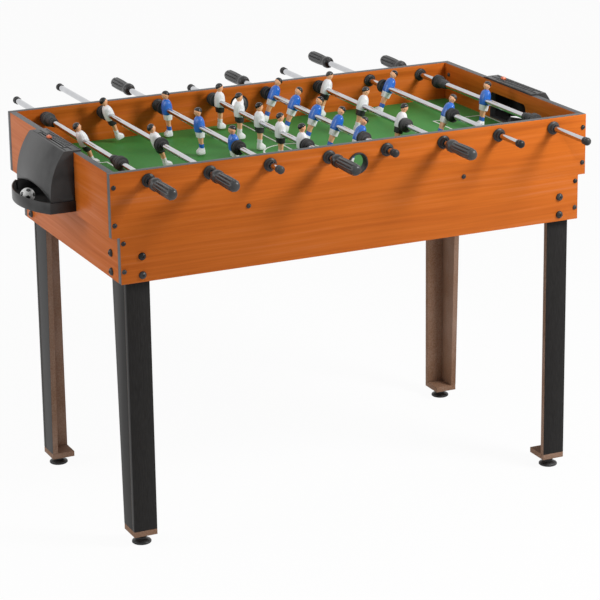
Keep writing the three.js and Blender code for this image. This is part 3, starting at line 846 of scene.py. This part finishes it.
# Sizes of a ball return in millimetres, out from the end board.
WALL = 3
HOOD_HALF = 104  # half the hood's width
HOOD_OUT, HOOD_BELLY, SHELF_OUT = 52, 54, 20
TRAY_HALF = 108  # half the tray's width
TRAY_OUT = 89
TRAY_STRAIGHT = 55  # length of the tray's straight sides
LIP_DOWN = 100  # rim to the tray's lip
SLOT_AT, SLOT_HALF, SLOT_LONG = 7, 1.7, 65  # middle, half width and half length


class OBJECT_OT_foosball_returns(bpy.types.Operator):
    """Moulded ball returns: hood, score shelf with its slot and ribs, and tray"""
    bl_idname = "foosball.returns"
    bl_label = "Ball returns"

    def execute(self, context):
        for side, turn in zip(SIDE_NAMES, (math.pi, 0)):
            low, high = box_mm(f"ball_return_{side}")
            middle = (low.y + high.y) / 2
            end = box_mm(f"end_panel_{side}")
            out_x = end[1].x if side == "right" else end[0].x
            place = Matrix.Translation((out_x, middle, 0)) @ Matrix.Rotation(turn, 4, "Z")
            shelf_top = high.z
            shelf_under = shelf_top - WALL
            lip = end[1].z - LIP_DOWN
            tray = low.z
            half = HOOD_HALF

            def hood_side(inset, x0, z0, z1):
                foot = (HOOD_OUT - inset, lip)
                return [(x0, z0), (HOOD_OUT - inset, z0), foot,
                        *curve_points(foot, (HOOD_BELLY - inset, (lip + shelf_top) / 2 + 8),
                                      (SHELF_OUT - inset, z1), 20), (x0, z1)]

            def shape(loops, axis, a, b):
                form = Form()
                form.slab(loops, axis, a, b)
                return to_object("part", form, ("hood",))

            def tray_plan(inset, x0):
                rise = TRAY_OUT - TRAY_STRAIGHT
                bow = (rise * rise + TRAY_HALF * TRAY_HALF) / (2 * rise)
                radius, side_y = bow - inset, TRAY_HALF - inset
                angle = math.degrees(math.asin(side_y / radius))
                return [(x0, side_y), (x0, -side_y), *arc_points(TRAY_OUT - bow, 0, radius, -angle, angle, 28)]

            hood = shape([hood_side(0, 0.3, tray, shelf_top)], "Y", -half, half)
            width = half - WALL
            cut(hood, shape([hood_side(WALL, -1, tray - 1, shelf_under)], "Y", -width, width))
            arch = [(width, tray - 1), (width, lip + 4),
                    *curve_points((width, lip + 4), (0, lip + 32), (-width, lip + 4), 24), (-width, tray - 1)]
            cut(hood, shape([arch], "X", 22, 92))
            cut(hood, shape([[(-16.9, -half), (19, -half), (19, half), (-16.9, half)]], "Z",
                            shelf_under, shelf_top - 0.02), "UNION")
            bowl = shape([tray_plan(0, 0.3)], "Z", tray, lip)
            cut(bowl, shape([tray_plan(WALL, WALL + 0.3)], "Z", tray + WALL, lip + 2))
            cut(hood, bowl, "UNION")
            near, far, end_y = SLOT_AT - SLOT_HALF, SLOT_AT + SLOT_HALF, SLOT_LONG
            cut(hood, shape([[(near, -end_y), (far, -end_y), (far, end_y), (near, end_y)]], "Z",
                            shelf_under - 2, shelf_top + 2))
            ease(hood, 0.8, 50)
            hood.data.transform(Matrix.Translation(place.translation * MM) @ Matrix.Rotation(turn, 4, "Z"))
            hood.name = hood.data.name = f"ball_return_moulding_{side}"
            place_piece(hood, "cabinet", [f"ball_return_{side}"], 32)

            trim = Form()
            # Raised rails along the slot and along the shelf's edge, and a rolled rim round the tray.
            for x0, x1, rise in ((-0.6, 0.8, 1.0), (13.2, 14.6, 1.0), (-15.5, -13.5, 0.8)):
                trim.box(x0, x1, -half + 8, half - 8, shelf_top - 0.4, shelf_top + rise, 0, place)
            for y in (-72, 72):
                trim.box(-0.6, 14.6, y - 0.8, y + 0.8, shelf_top - 0.4, shelf_top + 1, 0, place)
            outer, inner = tray_plan(0, 0)[2:], tray_plan(2.4, 0)[2:]
            trim.slab([[*outer, *reversed(inner)]], "Z", lip - 0.2, lip + 1.2, 0, 0, place)
            # Fin that steadies the tray against the end board.
            fin = [(0.4, lip - 44), (0.4, tray + 0.2), (36, tray + 0.2)]
            trim.slab([fin], "Y", -1.6, 1.6, 0, 0, place)
            make(f"ball_return_trim_{side}", trim, ("hood",), "cabinet", round_mm=0.35)

            rib = Form()
            rib.box(-0.5, 0.5, -0.5, 0.5, 0, 1)
            spots = [(tuple(place @ Vector((x, -60 + 12 * i, shelf_top - 0.3))), (0, 0, 1))
                     for i in range(11) for x in (-4.5, -7.5, -10.5)]
            repeat(f"score_ticks_{side}", rib, spots, 2.0, 1.1, "hood")
        return {"FINISHED"}


class OBJECT_OT_foosball_markers(bpy.types.Operator):
    """Score markers that slide along their slots"""
    bl_idname = "foosball.markers"
    bl_label = "Score markers"

    def execute(self, context):
        for side in SIDE_NAMES:
            low, high = box_mm(f"score_slider_{side}")
            x, y = (low.x + high.x) / 2, (low.y + high.y) / 2
            knob = high.z - 5
            form = Form()
            rings = []
            # The knob narrows to its top, which is dished for a finger.
            for z, wide, long in ((0, 4.5, 6), (1.2, 4.5, 6), (3.6, 3.5, 5.2), (4.6, 3.1, 4.8), (5, 2.7, 4.4),
                                  (4.4, 1.6, 3.2)):
                rings.append([(x + wide * a, y + long * b, knob + z) for a, b in (
                    (1, -0.8), (1, 0.8), (0.8, 1), (-0.8, 1), (-1, 0.8), (-1, -0.8), (-0.8, -1), (0.8, -1))])
            form.lofted(rings)
            form.box(x - 1.4, x + 1.4, y - 3.5, y + 3.5, low.z + 1.9, knob + 0.1)
            form.box(x - 3.5, x + 3.5, y - 6, y + 6, low.z, low.z + 2)
            for s in (-4.2, 0, 4.2):
                form.box(x - 4.5, x + 4.5, y + s - 0.5, y + s + 0.5, knob + 0.4, knob + 2.6)
            make(f"marker_{side}", form, ("marker",), f"score_{side}", [f"score_slider_{side}"],
                 round_mm=0.25)
        return {"FINISHED"}


class OBJECT_OT_foosball_ball(bpy.types.Operator):
    """Game ball with twelve five-sided patches and sunk seams"""
    bl_idname = "foosball.ball"
    bl_label = "Game ball"

    def execute(self, context):
        low, high = box_mm("ball")
        centre = (low + high) / 2
        radius = min(high - low) / 2
        bm = bmesh.new()
        bmesh.ops.create_icosphere(bm, subdivisions=1, radius=1)
        corners = np.array([v.co.normalized() for v in bm.verts])
        centres = np.array([f.calc_center_median().normalized() for f in bm.faces])
        bm.free()
        bm = bmesh.new()
        bmesh.ops.create_icosphere(bm, subdivisions=6, radius=1)
        mesh = bpy.data.meshes.new("ball_patched")
        tilt = np.array(Matrix.Rotation(0.5, 3, "X") @ Matrix.Rotation(0.35, 3, "Y"))
        patch = []
        for v in bm.verts:
            d = tilt @ np.array(v.co.normalized())
            # A five-sided face stands 2.3274 edges from the centre and a six-sided one 2.2673.
            fives = np.sort(corners @ d)[::-1] / 2.32744
            sixes = np.sort(centres @ d)[::-1] / 2.26728
            patch.append(float(fives[0] - sixes[0]) * 2)
            gap = min(abs(fives[0] - sixes[0]), abs(sixes[0] - sixes[1])) * 2
            v.co = Vector(v.co).normalized() * radius * (1 - 0.016 * math.exp(-(gap / 0.012) ** 2))
        bm.to_mesh(mesh)
        bm.free()
        mesh.attributes.new("patch", "FLOAT", "POINT").data.foreach_set("value", patch)
        mesh.materials.append(finish("ball"))
        mesh.transform(Matrix.Translation(centre * MM) @ Matrix.Scale(MM, 4))
        place_piece(link_object("ball_patched", mesh), "game_ball", ["ball"], 80)
        return {"FINISHED"}


# ---- rods ---------------------------------------------------------------------------------------

GRIP_BORE = 55  # how far a handle's bore goes in
CAP_LONG = 16


def rod_places(k):
    """Where rod k's parts are along Y in mm, its axis, and the turn that points +Y to its handle."""
    rod_low, rod_high = box_mm(f"rod_{k}")
    grip_low, grip_high = box_mm(f"handle_{k}")
    hand = -1 if (grip_low.y + grip_high.y) < (rod_low.y + rod_high.y) else 1
    grip_foot = grip_high.y if hand < 0 else grip_low.y
    cap_tip = rod_high.y if hand < 0 else rod_low.y
    cap_foot = cap_tip + hand * CAP_LONG
    bump_low, bump_high = box_mm(f"bumper_{k}")
    figures = [box_mm(f"man_{k}_{i}") for i in (1, RODS[k - 1][0])]
    return {
        "axis": ((rod_low.x + rod_high.x) / 2, (rod_low.z + rod_high.z) / 2),
        "middle": sum(low.y + high.y for low, high in figures) / 4,
        "turn": Matrix.Rotation(math.pi if hand < 0 else 0, 4, "Z"),
        "grip_foot": grip_foot, "cap_foot": cap_foot,
        "bumper": (bump_high.y - 10) if hand > 0 else (bump_low.y + 10),
        "sleeved": bump_high.y - bump_low.y > 30,
    }


def bumper_profile(bore, sleeve):
    """A bumper's section from its wall side to its figure side, as (radius, place) pairs."""
    half = [(bore, -10), (8.8, -10), (10, -9), (10, -7.4), (14, -6.8), (15, -5.6), (15, -1.8), (13.2, -1.2),
            (13.2, 1.2), (15, 1.8), (15, 5.6), (14, 6.8), (10.4, 7.4), (10, 8.8)]
    if sleeve:
        return half + [(9, 10), (9, 26), (10.6, 27), (10.6, 29), (9, 30), (9, 40.6), (8, 42), (bore, 42)]
    return half + [(8.8, 10), (bore, 10)]


class OBJECT_OT_foosball_rods(bpy.types.Operator):
    """Chromed rods with their end caps and bumpers"""
    bl_idname = "foosball.rods"
    bl_label = "Rods and bumpers"

    def execute(self, context):
        radius = context.scene.foosball_fittings.rod / MM / 2
        for k in range(1, len(RODS) + 1):
            at = rod_places(k)
            x, z = at["axis"]
            place = Matrix.Translation((x, at["middle"], z)) @ at["turn"]
            reach, tail, stop = (abs(at[part] - at["middle"]) for part in ("grip_foot", "cap_foot", "bumper"))
            tube = Form()
            end = reach + GRIP_BORE - 1
            inside = radius - 1.3
            tube.turned([(inside, -tail - 3), (radius - 0.4, -tail - 3), (radius, -tail - 2.6), (radius, end),
                         (inside, end)], 40, True, 0, place)
            make(f"rod_tube_{k}", tube, ("chrome",), f"rod_{k}", [f"rod_{k}"])

            cap = Form()
            # A collar on the tube, a neck and a ball.
            profile = [(radius, 1.5), (7.6, 1.5), (7.9, 0.8), (7.9, -2.4), (7.1, -3.3), (5.8, -4.1)]
            profile += [(8.5 * math.cos(math.radians(a)), -9.7 - 6.3 * math.sin(math.radians(a)))
                        for a in range(-48, 91, 6)]
            profile += [(0, -2.9), (radius, -2.9)]
            cap.turned([(r, -tail + a) for r, a in profile], 36, True, 0, place)
            make(f"end_cap_{k}", cap, ("plastic",), f"rod_{k}")

            far, near = Form(), Form()
            section = bumper_profile(radius, at["sleeved"])
            far.turned([(r, -stop + a) for r, a in section], 40, True, 0, place)
            make(f"bumper_far_{k}", far, ("rubber",), f"rod_{k}")
            section = bumper_profile(radius + 0.2, at["sleeved"])
            near.turned([(r, stop - a) for r, a in section], 40, True, 0, place)
            make(f"bumper_near_{k}", near, ("rubber",), f"carriage_{k}", [f"bumper_{k}"])
        return {"FINISHED"}


class OBJECT_OT_foosball_handles(bpy.types.Operator):
    """Fluted handles"""
    bl_idname = "foosball.handles"
    bl_label = "Handles"

    def execute(self, context):
        settings = context.scene.foosball_fittings
        radius = settings.rod / MM / 2
        flutes = settings.flutes

        def ribs(along, angle):
            """Grooves between the flutes, which fade out at both ends of the grip."""
            fade = min(1, max(0, (along - 25) / 4)) * min(1, max(0, (95 - along) / 7))
            groove = (0.5 - 0.5 * math.cos(flutes * angle)) ** 3
            return 1 - 0.2 * fade * groove

        for k in range(1, len(RODS) + 1):
            at = rod_places(k)
            x, z = at["axis"]
            place = Matrix.Translation((x, at["grip_foot"], z)) @ at["turn"]
            form = Form()
            foot = [(radius + 0.1, 0), (10.4, 0), (11.6, 0.8), (13.0, 4.5), (13.5, 6.5), (13.5, 14.5),
                    (12.9, 16.4), (11.8, 17.8), (10.9, 19.2), (10.9, 21), (11.5, 23)]
            grip = [(11.6 + 1.2 * math.sin(math.pi * (a - 25) / 85), a)
                    for a in (25, 26.5, 28, 30, 34, 40, 48, 56, 64, 72, 78, 83, 87, 90)]
            tip = [(11.55, 92), (10.9, 94), (9.9, 96), (8.3, 97.8), (6.0, 99.1), (3.0, 99.8), (0, 100),
                   (0, GRIP_BORE), (radius + 0.1, GRIP_BORE)]
            form.turned(foot + grip + tip, flutes * 10, True, 0, place, ribs)
            make(f"grip_{k}", form, ("grip",), f"rod_{k}", [f"handle_{k}"], 50)
        return {"FINISHED"}


# ---- playing figures ----------------------------------------------------------------------------

def oval(z, deep, wide, x=0.0, power=2.4, groove=0.0, count=32):
    """A rounded ring round the figure's upright axis, with a groove down its middle for the legs."""
    ring = []
    for a in angles(count):
        c, d = math.cos(a), math.sin(a)
        px = deep * math.copysign(abs(c) ** (2 / power), c)
        py = wide * math.copysign(abs(d) ** (2 / power), d)
        px *= 1 - groove * math.exp(-(py / 1.7) ** 2)
        ring.append((x + px, py, z))
    return ring


HAIR, SKIN, SHIRT, SHORTS, SOCKS, BOOTS = range(6)


def figure_form():
    """A figure on the rod's axis, facing +X, from its boots at -59 to its crown at 43."""
    form = Form()
    # z, depth, width, middle, squareness, leg groove, finish of the band above
    body = [
        (-54, 3.6, 6.4, 0.4, 2.6, 0.55, SOCKS), (-48, 4.0, 6.9, 0.2, 2.4, 0.55, SOCKS),
        (-43, 4.5, 7.5, -0.2, 2.3, 0.5, SOCKS), (-37.5, 4.7, 7.9, 0, 2.3, 0.5, SOCKS),
        (-36.6, 4.7, 7.9, 0, 2.3, 0.5, SKIN), (-36.5, 4.2, 7.4, 0.1, 2.3, 0.5, SKIN),
        (-31, 4.5, 7.8, 0.6, 2.3, 0.5, SKIN), (-26, 5.0, 8.4, 0.3, 2.3, 0.45, SKIN),
        (-22.2, 5.4, 8.9, 0.1, 2.3, 0.4, SKIN), (-22, 8.2, 11.0, 0.1, 2.5, 0.25, SHORTS),
        (-16, 8.9, 11.6, 0, 2.5, 0.12, SHORTS), (-9.4, 9.4, 12.0, 0, 2.5, 0, SHORTS),
        (-9.3, 10.4, 12.3, 0, 2.5, 0, SHIRT), (-8.4, 10.8, 12.5, 0, 2.4, 0, SHIRT),
        (-3, 11.3, 12.8, 0, 2.3, 0, SHIRT), (4, 11.4, 12.8, 0, 2.3, 0, SHIRT),
        (11, 10.9, 12.7, 0, 2.2, 0, SHIRT), (16, 9.6, 12.2, 0, 2.2, 0, SHIRT),
        (19.6, 7.8, 11.0, -0.1, 2.1, 0, SHIRT), (22.2, 5.8, 8.4, -0.2, 2, 0, SHIRT),
        (24, 4.4, 5.4, -0.2, 2, 0, SHIRT), (24.1, 3.9, 4.2, -0.1, 2, 0, SKIN),
        (27.5, 3.8, 4.0, 0, 2, 0, SKIN),
    ]
    form.lofted([oval(*row[:6]) for row in body], [row[6] for row in body[:-1]])
    # Sleeved arms lie along the body, down to the rod.
    for s in (-1, 1):
        arm = [(20.2, 2.2, 1.2, 0, 9.6), (18.8, 4.2, 2.3, 0, 9.9), (14, 5.2, 2.8, 0.2, 10.1),
               (8, 5.3, 2.8, 0.6, 10.1), (2, 5.0, 2.6, 1.3, 10.3), (-4, 4.4, 2.2, 2.1, 10.6),
               (-8, 3.6, 1.8, 2.8, 10.8), (-9.8, 2.0, 1.0, 3.0, 10.8)]
        form.lofted([[(x + deep * math.cos(a), s * (y + wide * math.sin(a)), z) for a in angles(16)]
                     for z, deep, wide, x, y in arm], SHIRT)
    # Head: an egg with a nose, brow and ears; hair is a shell on top and behind.
    head = []
    for i in range(15):
        t = math.pi * i / 14
        z = 33 - 8.6 * math.cos(t) - (0.9 if i < 4 else 0)
        r = max(0.02, math.sin(t) ** 0.82)
        bridge = 1.1 * math.exp(-((z - 31.6) / 1.7) ** 2)
        head.append([(0.6 + 7.7 * r * math.cos(a) + bridge * math.exp(-(min(a, 2 * math.pi - a) / 0.2) ** 2),
                      7.0 * r * math.sin(a), z) for a in angles(28)])
    form.lofted(head, SKIN)
    for s in (-1, 1):
        form.turned([(0, -0.9), (1.9, -0.6), (2.1, 0), (1.9, 0.6), (0, 0.9)], 12, False, SKIN,
                    Matrix.Translation((0.2, s * 7.0, 32.2)))
        form.turned([(0, -0.6), (0.75, -0.3), (0.75, 0.3), (0, 0.6)], 10, False, HAIR,
                    Matrix.Translation((7.5, s * 2.5, 34.0)))
    hair = []
    for i in range(13):
        t = math.pi * i / 12
        z = 33.4 - 9.4 * math.cos(t)
        r = max(0.02, math.sin(t) ** 0.85)
        ring = []
        for a in angles(28):
            front = 0.5 + 0.5 * math.cos(a)
            # Below the hairline the shell sinks into the head, more so at the face.
            line = 30.5 + 6.6 * front ** 0.6
            sink = 1 / (1 + math.exp((z - line) * 2.2))
            size = 1 - 0.3 * sink
            ring.append((-0.2 + 8.9 * r * size * math.cos(a), 8.1 * r * size * math.sin(a), min(z, 42.8)))
        hair.append(ring)
    form.lofted(hair, HAIR)
    # Boots: one block with a toe, cleft in the middle, flat in front to strike the ball.
    boots = [(-59, -5.4, 11.2, 7.2), (-58, -6.0, 12.2, 7.8), (-54, -6.0, 12.6, 8.0), (-51, -5.8, 11.6, 7.8),
             (-48.4, -5.4, 8.0, 7.5), (-45.6, -4.9, 5.2, 7.0)]
    rings = []
    for z, back, front, wide in boots:
        mid, deep = (back + front) / 2, (front - back) / 2
        rings.append([(mid + deep * math.copysign(abs(math.cos(a)) ** 0.6, math.cos(a)) *
                       (1 - (0.16 if math.cos(a) > 0 else 0.05) * math.exp(-(math.sin(a) / 0.16) ** 2)),
                       wide * math.copysign(abs(math.sin(a)) ** 0.6, math.sin(a)), z)
                      for a in angles(32)])
    form.lofted(rings, BOOTS)
    return form


class OBJECT_OT_foosball_figures(bpy.types.Operator):
    """Playing figures of both teams"""
    bl_idname = "foosball.figures"
    bl_label = "Playing figures"

    def execute(self, context):
        kits = {
            "white": ("hair_paint", "skin_paint", "white_paint", "dark_paint", "white_paint", "white_paint"),
            "blue": ("hair_paint", "skin_paint", "blue_paint", "white_paint", "blue_paint", "white_paint"),
        }
        pattern = figure_form()
        for k, (count, team, lean) in enumerate(RODS, 1):
            x, z = rod_places(k)["axis"]
            for i in range(1, count + 1):
                low, high = box_mm(f"man_{k}_{i}")
                place = Matrix.Translation((x, (low.y + high.y) / 2, z)) @ Matrix.Rotation(
                    math.radians(-lean), 4, "Y")
                if team == "blue":
                    place = place @ Matrix.Rotation(math.pi, 4, "Z")
                form = Form()
                form.add(pattern.points, pattern.faces, pattern.numbers, place)
                make(f"figure_{k}_{i}", form, kits[team], f"rod_{k}", [f"man_{k}_{i}"], 45)
        return {"FINISHED"}


# ---- stage --------------------------------------------------------------------------------------

class OBJECT_OT_foosball_stage(bpy.types.Operator):
    """Floor, lamps, even light and camera"""
    bl_idname = "foosball.stage"
    bl_label = "Stage"

    def lamp(self, name, place, aim, size, power):
        """A soft square lamp at a place, turned to its aim."""
        data = bpy.data.lights.new(name, "AREA")
        data.shape, data.size, data.energy = "SQUARE", size, power
        made = link_object(name, data)
        made.visible_camera = False
        made.location = place
        made.rotation_euler = (Vector(aim) - Vector(place)).to_track_quat("-Z", "Y").to_euler()

    def seen_directly(self, tree):
        """1 for camera, mirror and glass rays, and 0 for the light that falls on the table."""
        seen = 0.0
        for ray in ("Is Camera Ray", "Is Glossy Ray", "Is Transmission Ray"):
            seen = add(tree, "ShaderNodeMath", {
                0: seen, 1: add(tree, "ShaderNodeLightPath", out=ray)}, operation="MAXIMUM")
        return seen

    def execute(self, context):
        scene = context.scene
        settings = scene.foosball_stage
        scene.view_settings.view_transform = "Standard"

        form = Form()
        form.box(-60000, 60000, -60000, 60000, -20, 0)
        floor = to_object("floor", form, ())
        material, tree, shader, place = new_finish("floor_paper_white", Roughness=0.9)
        cloud = add(tree, "ShaderNodeTexNoise", {"Vector": place, "Scale": 3.0})
        tone = add(tree, "ShaderNodeValToRGB", {"Fac": cloud}, stops=[
            (0.3, colour("#F0F0F0")), (0.7, colour("#F4F4F4"))])
        wire(tree, shader, {"Base Color": tone})
        glow = add(tree, "ShaderNodeEmission", {"Color": (1, 1, 1, 1), "Strength": 1.0})
        share = add(tree, "ShaderNodeMath", {0: self.seen_directly(tree), 1: 0.95}, operation="MULTIPLY")
        mixed = add(tree, "ShaderNodeMixShader", {0: share, 1: shader.outputs["BSDF"], 2: glow})
        wire(tree, tree.nodes["Material Output"], {"Surface": mixed})
        floor.data.materials.append(material)

        world = bpy.data.worlds.new("even_light")
        world.use_nodes = True
        scene.world = world
        tree = world.node_tree
        strength = add(tree, "ShaderNodeMapRange", {
            "Value": self.seen_directly(tree), "To Min": settings.ambient, "To Max": 1.0})
        wire(tree, tree.nodes["Background"], {"Color": (1, 1, 1, 1), "Strength": strength})

        aim = (0, -0.08, 0.65)
        self.lamp("key_lamp", (1.3, -1.55, 1.95), aim, 0.7, settings.key)
        self.lamp("fill_lamp", (-3.0, 0.4, 2.0), aim, 1.8, settings.fill)

        data = bpy.data.cameras.new("camera")
        data.sensor_width = 36
        data.lens = settings.focal
        data.shift_x, data.shift_y = 0.03128, -0.08985
        data.clip_end = 200
        camera = link_object("camera", data)
        turn, pitch, roll = (math.radians(a) for a in (24.448, 16.310, -0.917))
        ahead = Vector((math.sin(turn) * math.cos(pitch), math.cos(turn) * math.cos(pitch), -math.sin(pitch)))
        right = Vector((math.cos(turn), -math.sin(turn), 0))
        up = right.cross(ahead)
        tilted = math.cos(roll) * right + math.sin(roll) * up
        upright = -math.sin(roll) * right + math.cos(roll) * up
        camera.matrix_world = Matrix.Translation((-2.1373, -4.7018, 1.9856)) @ Matrix(
            (tilted, upright, -ahead)).transposed().to_4x4()
        scene.camera = camera
        return {"FINISHED"}


class VIEW3D_PT_foosball(bpy.types.Panel):
    """The table's pieces, in the order they are made"""
    bl_label = "Foosball Table"
    bl_space_type = "VIEW_3D"
    bl_region_type = "UI"
    bl_category = "Foosball"

    def draw(self, context):
        for made in OPERATORS:
            self.layout.operator(made.bl_idname)
        for name in SETTINGS:
            self.layout.label(text=name.replace("foosball_", "").title())
            group = getattr(context.scene, name)
            for key in group.bl_rna.properties.keys():
                if key not in ("rna_type", "name"):
                    self.layout.prop(group, key)


SETTINGS = {
    "foosball_boards": FoosballBoardSettings,
    "foosball_field": FoosballFieldSettings,
    "foosball_fittings": FoosballFittingSettings,
    "foosball_teams": FoosballTeamSettings,
    "foosball_stage": FoosballStageSettings,
}
OPERATORS = (
    OBJECT_OT_foosball_boards, OBJECT_OT_foosball_field, OBJECT_OT_foosball_bearings,
    OBJECT_OT_foosball_legs, OBJECT_OT_foosball_screws, OBJECT_OT_foosball_returns,
    OBJECT_OT_foosball_markers, OBJECT_OT_foosball_ball, OBJECT_OT_foosball_rods,
    OBJECT_OT_foosball_handles, OBJECT_OT_foosball_figures, OBJECT_OT_foosball_stage,
)


def register():
    for made in (*SETTINGS.values(), *OPERATORS, VIEW3D_PT_foosball):
        bpy.utils.register_class(made)
    for name, group in SETTINGS.items():
        setattr(bpy.types.Scene, name, PointerProperty(type=group))


def unregister():
    for name in SETTINGS:
        delattr(bpy.types.Scene, name)
    for made in reversed((*SETTINGS.values(), *OPERATORS, VIEW3D_PT_foosball)):
        bpy.utils.unregister_class(made)


def main():
    register()
    for made in OPERATORS:
        family, name = made.bl_idname.split(".")
        getattr(getattr(bpy.ops, family), name)()
    bpy.context.view_layer.update()


if __name__ == "__main__":
    main()
